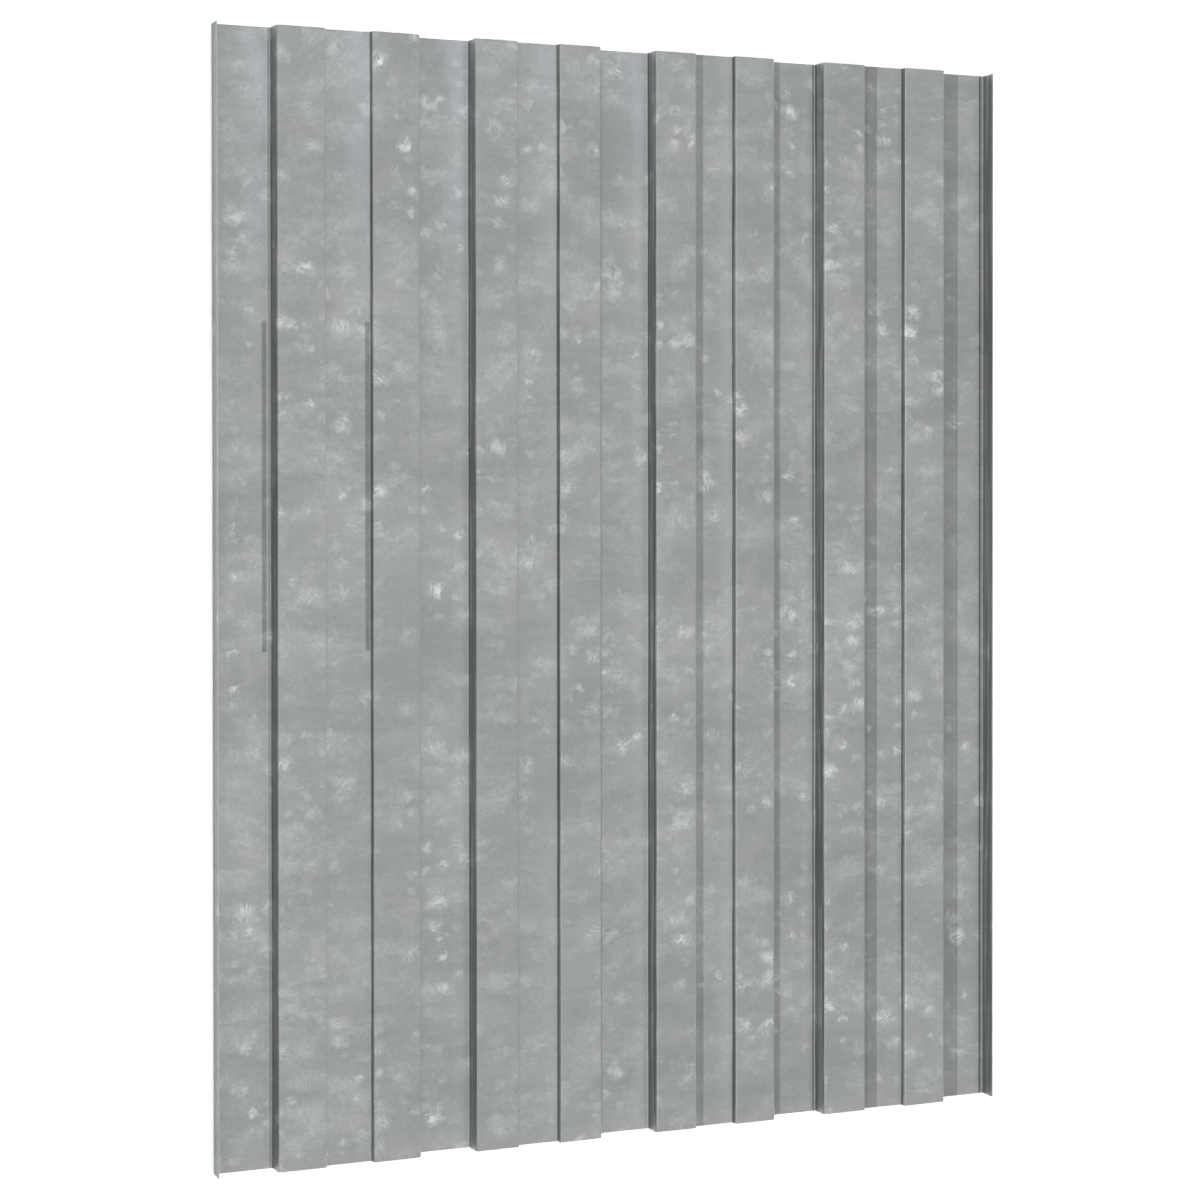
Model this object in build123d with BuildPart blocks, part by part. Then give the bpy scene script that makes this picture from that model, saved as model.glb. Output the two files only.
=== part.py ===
from build123d import *
import os

os.makedirs("parts", exist_ok=True)

# Corrugated metal sheet, cold-formed from one flat blank of galvanised steel.
# It lies flat: X runs across the ribs, Y along them and Z up from the floor.
# Every level below is that of the middle of the steel's thickness.

# Blank
sheet_length = 600
overall_width = 462
thickness = 0.5

# Ribs, each with a shallow groove pressed into the middle third of its crest
rib_height = 10
groove_depth = 3.6
inner_rib_width = 72.6
outer_rib_width = 78
wall_run = 0.6

# Flat pans between the ribs
centre_pan_width = 33
side_pan_width = 31.6

# Lip turned up along each long edge, measured from the pan's upper face
lip_height = 10.6

# Radius of every fold, on the inside of the bend
bend_radius = 0.8

# Levels that the folds run between
pan_level = thickness / 2
crest_level = pan_level + rib_height
groove_level = crest_level - groove_depth
lip_tip_level = thickness + lip_height

# Distances from the middle of the sheet at which the crests begin
inner_crest_start = centre_pan_width / 2
outer_crest_start = inner_crest_start + inner_rib_width + side_pan_width
lip_distance = (overall_width - thickness) / 2


def rib_folds(crest_start, crest_width):
    """Fold lines of one rib, from the foot nearest the middle outwards."""
    crest_end = crest_start + crest_width
    third = crest_width / 3
    groove_run = wall_run * groove_depth / rib_height
    return [
        (crest_start - wall_run, pan_level),
        (crest_start, crest_level),
        (crest_start + third, crest_level),
        (crest_start + third + groove_run, groove_level),
        (crest_end - third - groove_run, groove_level),
        (crest_end - third, crest_level),
        (crest_end, crest_level),
        (crest_end + wall_run, pan_level),
    ]


# Folds of the right half, then the left half as its mirror image
right_half = rib_folds(inner_crest_start, inner_rib_width)
right_half += rib_folds(outer_crest_start, outer_rib_width)
right_half += [(lip_distance, pan_level), (lip_distance, lip_tip_level)]
left_half = [(-distance, level) for distance, level in reversed(right_half)]

with BuildPart() as corrugated_sheet:
    # The rounded fold line, given the steel's thickness, is the rolled section
    with BuildSketch(Plane.XZ):
        with BuildLine():
            FilletPolyline(*left_half, *right_half, radius=bend_radius + thickness / 2)
        trace(line_width=thickness)
    # Rolled out to the full length of the sheet
    extrude(amount=sheet_length / 2, both=True)

corrugated_sheet.part.label = "corrugated_sheet"
export_step(corrugated_sheet.part, "parts/corrugated_sheet.step")
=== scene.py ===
import bpy
from mathutils import Matrix, Vector

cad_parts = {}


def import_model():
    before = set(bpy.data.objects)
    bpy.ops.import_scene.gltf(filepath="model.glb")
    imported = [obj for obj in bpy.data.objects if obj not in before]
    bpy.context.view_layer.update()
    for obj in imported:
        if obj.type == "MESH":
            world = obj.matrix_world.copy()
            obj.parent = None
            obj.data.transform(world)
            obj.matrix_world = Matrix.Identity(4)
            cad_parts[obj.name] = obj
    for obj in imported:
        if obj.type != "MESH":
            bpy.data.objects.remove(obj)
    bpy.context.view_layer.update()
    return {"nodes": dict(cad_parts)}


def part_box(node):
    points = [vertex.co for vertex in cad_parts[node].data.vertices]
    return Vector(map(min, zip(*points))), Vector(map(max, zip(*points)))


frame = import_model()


# Corrugated sheet
# One sheet of steel, dipped in molten zinc and then cold-formed between rolls.
# The zinc froze in frosty clouds and small bright flakes. The walls of the folds
# carry painted shade in long streaks.

sheet = frame["nodes"]["corrugated_sheet"]
sheet_low, sheet_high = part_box("corrugated_sheet")
half_width = sheet_high[0]

# Feet of the walls that face left, in metres across from the sheet's middle
left_rib = -0.1993
left_groove = -0.1469
inner_left_rib = -0.0897
inner_left_groove = -0.0409
inner_right_rib = 0.0159
inner_right_groove = 0.0647
right_rib = 0.1201
right_lip = 0.2305

dull_grey = (0.278, 0.295, 0.290, 1)
frost_grey = (0.470, 0.492, 0.485, 1)
# Bright flakes, and also the painted light in corners and the painted highlights on bends
flake_and_highlight_white = (0.720, 0.740, 0.735, 1)
rose_tint = (0.372, 0.348, 0.355, 1)
# The grey of the painted shade on the walls
wall_shade_grey = (0.125, 0.134, 0.132, 1)
# The colour of the painted sheen
sheen_white = (0.650, 0.690, 0.810, 1)


class Socket:
    """One socket of a node tree. Sums on values add Math nodes."""

    def __init__(self, tree, link=None):
        self.tree = tree
        self.link = link

    def node(self, kind, settings=None, values=None, output=0):
        """Add a node: its settings are set first, then its sockets' values or links."""
        made = self.tree.nodes.new(kind)
        for name, setting in (settings or {}).items():
            setattr(made, name, setting)
        for name, value in (values or {}).items():
            if isinstance(value, Socket):
                self.tree.links.new(value.link, made.inputs[name])
            else:
                made.inputs[name].default_value = value
        return Socket(self.tree, made.outputs[output] if made.outputs else None)

    def other(self, output):
        """Another output of the node that this one comes from."""
        return Socket(self.tree, self.link.node.outputs[output])

    def split(self):
        """The X, Y and Z of these coordinates."""
        x = self.node("ShaderNodeSeparateXYZ", None, {0: self})
        return x, x.other(1), x.other(2)

    def part(self, channel):
        """One channel of a colour, from 0 to 2."""
        return self.node("ShaderNodeSeparateColor", None, {0: self}, channel)

    def math(self, operation, *values):
        return self.node("ShaderNodeMath", {"operation": operation}, dict(enumerate(values)))

    def __add__(self, other):
        return self.math("ADD", self, other)

    def __radd__(self, other):
        return self.math("ADD", other, self)

    def __sub__(self, other):
        return self.math("SUBTRACT", self, other)

    def __rsub__(self, other):
        return self.math("SUBTRACT", other, self)

    def __mul__(self, other):
        return self.math("MULTIPLY", self, other)

    def __rmul__(self, other):
        return self.math("MULTIPLY", other, self)

    def __abs__(self):
        return self.math("ABSOLUTE", self)

    def clamp(self):
        return self.node("ShaderNodeClamp", None, {"Value": self})

    def step(self, low, high):
        """Smoothly from 0 at low to 1 at high."""
        values = {"Value": self, "From Min": low, "From Max": high}
        return self.node("ShaderNodeMapRange", {"interpolation_type": "SMOOTHSTEP"}, values)

    def within(self, low, high):
        """1 between low and high, and 0 elsewhere."""
        return self.math("COMPARE", self, (low + high) / 2, (high - low) / 2)

    def mix(self, first, second):
        """The first colour where this mask is 0, and the second where it is 1."""
        return self.node("ShaderNodeMix", {"data_type": "RGBA"}, {0: self, 6: first, 7: second}, 2)

    def over(self, mask, colour):
        """This colour with another laid over it where the mask is 1."""
        return mask.mix(self, colour)

    def vector(self, operation, values):
        """Vector Math on these coordinates or this colour."""
        return self.node("ShaderNodeVectorMath", {"operation": operation}, {0: self, **values})

    def dimmed(self, share):
        """This colour, darker by a share of itself, so that its grain still shows."""
        return self.vector("SCALE", {"Scale": 1 - share})

    def stretched(self, x, y, z):
        """These coordinates, multiplied along each axis."""
        return self.vector("MULTIPLY", {1: (x, y, z)})

    def feathered(self, scale, reach):
        """These coordinates, pushed about by a fine noise so that edges turn feathery."""
        push = self.node("ShaderNodeTexNoise", None, {"Vector": self, "Scale": scale, "Detail": 2}, 1)
        push = push.vector("SUBTRACT", {1: (0.5, 0.5, 0.5)})
        return push.vector("MULTIPLY_ADD", {1: (reach, reach, reach), 2: self})

    def noise(self, scale=1, detail=3, roughness=0.5, distortion=0):
        """Cloudy noise at these coordinates, in grains to the metre."""
        values = {"Vector": self, "Scale": scale, "Detail": detail, "Roughness": roughness}
        return self.node("ShaderNodeTexNoise", None, {**values, "Distortion": distortion})

    def cells(self, x, y, z):
        """Distance from the middle of each cell of a loose net. Output 1 is the cell's own colour."""
        net = {"Vector": self.stretched(x, y, z), "Scale": 1, "Randomness": 1}
        return self.node("ShaderNodeTexVoronoi", {"feature": "F1"}, net)


zinc = bpy.data.materials.new("galvanised_steel")
zinc.use_nodes = True
zinc.node_tree.nodes.clear()
start = Socket(zinc.node_tree)
place = start.node("ShaderNodeTexCoord", output="Object")
across, along, level = place.split()
facing = start.node("ShaderNodeNewGeometry", output="Normal").split()
sideways = facing[0]
upright = abs(facing[2])
flat = upright.step(0.90, 0.985)
wall = 1 - (upright + sideways * 0.35).step(0.42, 0.76)
off_wall = 1 - wall
bend = off_wall * (1 - flat)
from_middle = abs(across)
outer_face = from_middle.step(half_width - 0.0004, half_width - 0.0001)

# Frosty clouds in the zinc, drawn out across the ribs, with a fine sparkle in them
clouds = place.stretched(12, 23, 18).noise(roughness=0.55, distortion=0.4)
smears = place.stretched(16, 110, 90).noise(roughness=0.6, distortion=0.3)
feathery = place.feathered(230, 0.0075)
mist = feathery.stretched(50, 76, 66).noise(detail=4, roughness=0.68)
grain = feathery.stretched(430, 430, 430).noise(roughness=0.9)
frosted = mist.step(0.44, 0.74) * (0.35 + clouds.step(0.36, 0.62) * 0.65)

# Fine needles in the frost, which lie another way in each crystal
full_turn = 6.28
large_cells = feathery.cells(56, 78, 78)
lie = large_cells.other(1).part(1) * full_turn
turned = start.node("ShaderNodeVectorRotate", {"rotation_type": "Z_AXIS"}, {"Vector": place, "Angle": lie})
needles = turned.stretched(170, 1300, 900).noise(roughness=0.65)
frosted = frosted * (0.72 + needles.step(0.40, 0.66) * 0.62)
tone = 0.165 + (clouds - 0.5) * 0.90 + (smears - 0.5) * 0.40 + frosted * 0.60
tone = tone + (grain - 0.5) * (0.60 + frosted * 1.35)
colour = tone.clamp().mix(dull_grey, frost_grey)


def flakes_of(cells, share, size):
    """Flakes on a share of a net's cells, each a soft feathery blot."""
    return cells.other(1).part(0).step(1 - share, 1.05 - share * 0.3) * (1 - cells.step(0.0, size))


# Bright flakes where the zinc froze into larger crystals, in flurries
flurry = place.noise(scale=11, detail=2).step(0.38, 0.60)
crystals = feathery.noise(scale=150, detail=4, roughness=0.75, distortion=0.3) + (needles - 0.5) * 0.85
small_cells = feathery.cells(105, 135, 135)
flakes = flakes_of(large_cells, 0.62, 0.48) * (0.30 + flurry * 0.70) * crystals.step(0.34, 0.60)
glints = flakes_of(small_cells, 0.42, 0.52) * flurry * crystals.step(0.32, 0.60)
colour = colour.over((flakes * 0.95 + glints * 0.75).clamp(), flake_and_highlight_white)

# Short pale strokes across the ribs
stroke = feathery.stretched(30, 230, 100).noise(detail=2, roughness=0.6, distortion=0.3).step(0.64, 0.82)
colour = colour.over(stroke * 0.26, flake_and_highlight_white)

# Faint warm blotches, and a warm strip along the near end
near_end = 1 - along.step(-0.299, -0.289)
blush = place.noise(scale=42, detail=2, distortion=0.8).step(0.58, 0.70) + near_end * 0.6
colour = colour.over((blush * 0.45).clamp(), rose_tint)

short_of_foot = 0.0004


def before(foot, far, near):
    """A strip just left of a wall's foot. It starts far off and is full from near on."""
    return across.step(foot - far, foot - near) * across.within(foot - far, foot - short_of_foot)


# Painted bluish sheen, a reflection at the feet of walls, mostly near the far end
sheen_feet = {
    left_rib: 1,
    left_groove: 1,
    inner_left_rib: 1,
    inner_left_groove: 0.6,
    inner_right_rib: 0.8,
}
painted_sheen = sum(before(foot, 0.020, 0.009) * share for foot, share in sheen_feet.items())
patches = place.stretched(60, 22, 60).noise().step(0.36, 0.60)
painted_sheen = painted_sheen * (0.10 + along.step(0.10, 0.29) * (0.30 + patches * 0.70)) * off_wall
colour = colour.over(painted_sheen * 0.17, sheen_white)

# Painted light in the corners at the walls' feet, which takes off the shade that the walls throw
corner_light_feet = {
    inner_left_rib: 0.6,
    inner_left_groove: 0.4,
    inner_right_rib: 1.2,
    inner_right_groove: 0.9,
    right_rib: 1,
    right_lip: 1,
}
painted_corner_light = sum(before(foot, 0.012, 0.002) * share for foot, share in corner_light_feet.items())
painted_corner_light = painted_corner_light + across.within(left_rib - 0.0028, left_rib - short_of_foot) * 1.9
colour = colour.over(painted_corner_light * off_wall * 0.12, flake_and_highlight_white)

# Painted shadows: dull strips beside two walls, in two grooves and on the right end pan
left_rib_shadow = across.within(left_rib - 0.0053, left_rib - 0.0028)
left_groove_shadow = across.within(left_groove - 0.0032, left_groove - 0.0007)
inner_right_groove_shadow = across.within(0.0430, 0.0466)
right_groove_shadow = across.within(0.1495, 0.1564)
end_pan_shadow = across.within(0.2114, 0.2134)
painted_shadow_strips = (left_rib_shadow + left_groove_shadow) * along.within(-0.028, 0.146)
painted_shadow_strips = painted_shadow_strips + (inner_right_groove_shadow + right_groove_shadow + end_pan_shadow) * 0.8
shadow_mottle = place.stretched(900, 60, 900).noise(detail=2, roughness=0.7)
colour = colour.dimmed(painted_shadow_strips * off_wall * (0.37 + (0.5 - shadow_mottle) * 0.30))

# Painted shade: a dark line in the pan beside the right rib's foot, and another beside the right lip
foot_shade_line = across.within(right_rib - 0.0020, right_rib - 0.0012)
foot_shade_line = foot_shade_line + across.within(right_lip - 0.0028, right_lip - 0.0018) * 1.15
foot_shade_band = across.within(right_rib - 0.0012, right_rib) + across.within(right_lip - 0.0018, right_lip)
colour = colour.dimmed((foot_shade_line + foot_shade_band * 0.40) * off_wall * 0.59)

# Painted shade on the walls, in long streaks and darker towards the right, but not on the outer face of a
# lip
wall_streaks = place.stretched(420, 9, 420).noise(roughness=0.7).step(0.43, 0.55)
shoulder = level.step(0.0078, 0.0084) * (1 - level.step(0.0090, 0.0096))
foot_line = level.step(0.0010, 0.0014) * (1 - level.step(0.0020, 0.0030))
painted_wall_shade = 0.135 + wall_streaks * 0.62 + shoulder * 0.28 + foot_line * 0.30 + across * 1.83
colour = colour.over(wall * (1 - outer_face) * painted_wall_shade.clamp(), wall_shade_grey)

# Painted highlights on the bends, stronger on bends that face right and towards the right, and on the
# lips' cut edges; the lips' outer faces made darker
cut_edge = from_middle.step(half_width - 0.0008, half_width - 0.0006) * flat
right_bend_light = sideways.step(0.0, 0.4) * off_wall
painted_bend_highlight = bend * 0.22 + right_bend_light * (bend * 0.16 + across.step(-0.06, 0.04) * 0.22)
colour = colour.over(painted_bend_highlight + cut_edge * 0.40, flake_and_highlight_white).dimmed(outer_face * 0.36)

roughness = 0.32 + frosted * 0.12 + wall * 0.06
relief = place.noise(scale=420, detail=2, roughness=0.6)
bump = start.node("ShaderNodeBump", None, {"Strength": 0.2, "Distance": 0.0002, "Height": relief})
finish = {"Base Color": colour, "Roughness": roughness, "Metallic": 0.3, "Normal": bump}
shader = start.node("ShaderNodeBsdfPrincipled", None, finish)
shader.node("ShaderNodeOutputMaterial", None, {"Surface": shader})

sheet.data.materials.clear()
sheet.data.materials.append(zinc)


# Floor
# A plain white floor for the sheet to lie on. It is whiter to the camera and in
# the zinc's reflections than it is under the lamps.

floor_reach = 40
floor_gap = 0.0002
floor_rim = [(-floor_reach, -floor_reach, 0), (floor_reach, -floor_reach, 0)]
floor_rim = floor_rim + [(floor_reach, floor_reach, 0), (-floor_reach, floor_reach, 0)]
floor_mesh = bpy.data.meshes.new("floor")
floor_mesh.from_pydata(floor_rim, [], [(0, 1, 2, 3)])
floor = bpy.data.objects.new("floor", floor_mesh)
floor.location.z = sheet_low[2] - floor_gap
bpy.context.scene.collection.objects.link(floor)

lit_white = (0.85, 0.85, 0.85, 1)
seen_white = (1.9, 1.9, 1.9, 1)
floor_white = bpy.data.materials.new("floor_white")
floor_white.use_nodes = True
floor_white.node_tree.nodes.clear()
paint = Socket(floor_white.node_tree)
camera_ray = paint.node("ShaderNodeLightPath", output="Is Camera Ray")
seen = camera_ray + camera_ray.other("Is Glossy Ray")
matt = paint.node("ShaderNodeBsdfDiffuse", None, {"Color": seen.mix(lit_white, seen_white)})
paint.node("ShaderNodeOutputMaterial", None, {"Surface": matt})
floor_mesh.materials.append(floor_white)


# Light
# A pale room that is brightest overhead, a broad lamp straight above, and a
# small lamp to the sheet's left that throws sharp shadows to the right of the ribs.

scene = bpy.context.scene
world = bpy.data.worlds.new("studio")
scene.world = world
world.use_nodes = True
world.node_tree.nodes.clear()
sky = Socket(world.node_tree)
height = sky.node("ShaderNodeTexCoord", output="Generated").split()[2]
glow = 0.14 + height.step(0.40, 0.82) * 0.60
room = sky.node("ShaderNodeBackground", None, {"Color": (1, 1, 1, 1), "Strength": glow})
sky.node("ShaderNodeOutputWorld", None, {"Surface": room})

# The small lamp shines harder to the sides, so that all the flat steel is lit alike
lamp_data = bpy.data.lights.new("lamp", "POINT")
lamp_data.shadow_soft_size = 0
lamp_data.energy = 16.5
lamp_data.use_nodes = True
rays = Socket(lamp_data.node_tree)
steepness = abs(rays.node("ShaderNodeTexCoord", output="Normal").split()[2])
even = rays.math("DIVIDE", 1.0, rays.math("MAXIMUM", steepness, 0.3))
steady = rays.node("ShaderNodeLightFalloff", None, {"Strength": even}, "Constant")
rays.tree.links.new(steady.link, rays.tree.nodes["Emission"].inputs["Strength"])
lamp = bpy.data.objects.new("lamp", lamp_data)
lamp.location = (-0.128, 0.03, 0.260)
lamp.visible_glossy = False
scene.collection.objects.link(lamp)

ceiling_data = bpy.data.lights.new("ceiling", "SUN")
ceiling_data.energy = 0.62
ceiling_data.angle = 0.35
ceiling = bpy.data.objects.new("ceiling", ceiling_data)
ceiling.visible_glossy = False
scene.collection.objects.link(ceiling)


# Camera
# Above the sheet and to its left, looking down so that the ribs run up the
# picture. Its place, turn and lens fit the sheet's own straight edges.

photo_px = 1200
film_mm = 36
focal_px = 2502.65
centre_y = 501.29
tilt_x, tilt_y, roll = 0.008645, -0.3841, -0.0007026
offset = Vector((0.01227, 0.05055, 1.39077))
pan_face = Vector((0, 0, 0.0005))
turn_x = Matrix.Rotation(tilt_x, 3, "X")
turn_y = Matrix.Rotation(tilt_y, 3, "Y")
turn_z = Matrix.Rotation(roll, 3, "Z")
flip = Matrix.Diagonal((1, -1, -1))
to_camera = flip @ (turn_z @ turn_x @ turn_y) @ flip
position = to_camera.transposed() @ -(flip @ offset)
camera_data = bpy.data.cameras.new("camera")
camera_data.sensor_width = film_mm
camera_data.lens = film_mm * focal_px / photo_px
camera_data.shift_y = (centre_y - photo_px / 2) / photo_px
camera_data.clip_start = 0.01
camera = bpy.data.objects.new("camera", camera_data)
scene.collection.objects.link(camera)
camera.matrix_world = Matrix.Translation(position + pan_face) @ to_camera.transposed().to_4x4()
scene.camera = camera

scene.view_settings.view_transform = "Standard"
